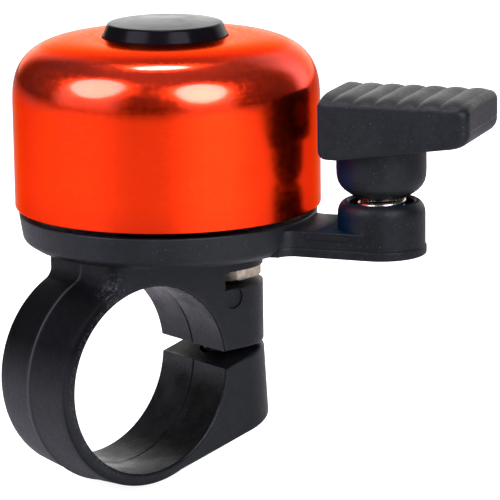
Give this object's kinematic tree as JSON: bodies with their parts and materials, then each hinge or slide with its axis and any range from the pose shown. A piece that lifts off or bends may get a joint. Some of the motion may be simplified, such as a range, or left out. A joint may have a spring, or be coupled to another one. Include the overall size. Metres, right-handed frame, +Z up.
{
  "type": "bicycle bell",
  "caption": "Handlebar bell: an anodised metal dome on a moulded base with a split clamp ring, pinch screw and a sprung thumb lever that strikes the dome.",
  "frame": {"origin": "middle of the bell's overall box in X and Y, at the height of its lowest point, the foot of the clamp ring. The centre of the handlebar bore is at (-9.63, 9.27, 12.95) mm.", "axes": "+Z up through the dome, Y along the handlebar, +X towards the split of the ring and the pinch screw. The striker arm runs towards +X and -Y, 60 degrees from X."},
  "size_m": [0.0458, 0.0546, 0.0538],
  "materials": {
    "moulded_plastic": "charcoal moulded nylon, satin with glossier patches",
    "lever_plastic": "charcoal moulded nylon, satin",
    "gloss_cap": "gloss black",
    "anodised_dome": "orange-red anodised, fine turned grain, satin gloss",
    "zinc_steel": "zinc plated, faint yellow",
    "blackened_steel": "blackened, lightly oiled",
    "spring_steel": "bright drawn wire",
    "nylon": "natural nylon"
  },
  "bodies": {
    "base": {"base_body": "moulded_plastic", "dome": "anodised_dome", "dome_cap": "gloss_cap", "dome_bush": "nylon", "dome_washer": "zinc_steel", "dome_screw": "zinc_steel"},
    "jaw": {"clamp_jaw": "moulded_plastic"},
    "screw": {"clamp_screw": "blackened_steel"},
    "nut": {"clamp_nut": "zinc_steel"},
    "spring": {"striker_spring": "spring_steel"},
    "lever": {"striker_lever": "lever_plastic", "strike_pin": "spring_steel"}
  },
  "joints": [
    {"name": "striker_rock", "type": "hinge", "parent": "base", "child": "spring", "pos_m": [0.01127, -0.01359, 0.03415], "axis": [-0.866, -0.5, 0], "range_deg": [-12, 12], "stiffness_Nm_per_rad": 0.09, "deforming": ["striker_spring"]},
    {"name": "striker_sway", "type": "hinge", "parent": "spring", "child": "lever", "pos_m": [0.01127, -0.01359, 0.03415], "axis": [0.5, -0.866, 0], "range_deg": [-8, 8], "stiffness_Nm_per_rad": 0.09, "deforming": ["striker_spring"]},
    {"name": "jaw_flex", "type": "hinge", "parent": "base", "child": "jaw", "pos_m": [-0.02158, 0.00927, 0.01295], "axis": [0, 1, 0], "range_deg": [-0.7, 2.35]},
    {"name": "clamp_screw_turn", "type": "hinge", "parent": "jaw", "child": "screw", "pos_m": [0.00617, 0.00927, 0.00845], "axis": [0, 0, -1], "range_deg": [-150, 510]},
    {"name": "nut_tilt", "type": "hinge", "parent": "base", "child": "nut", "pos_m": [0.00617, 0.00927, 0.01295], "axis": [0, 1, 0], "range_deg": [-0.7, 2.35]}
  ],
  "couplings": [
    {"joint": "jaw_flex", "follows": "clamp_screw_turn", "ratio": 0.004588},
    {"joint": "nut_tilt", "follows": "clamp_screw_turn", "ratio": 0.004588}
  ]
}
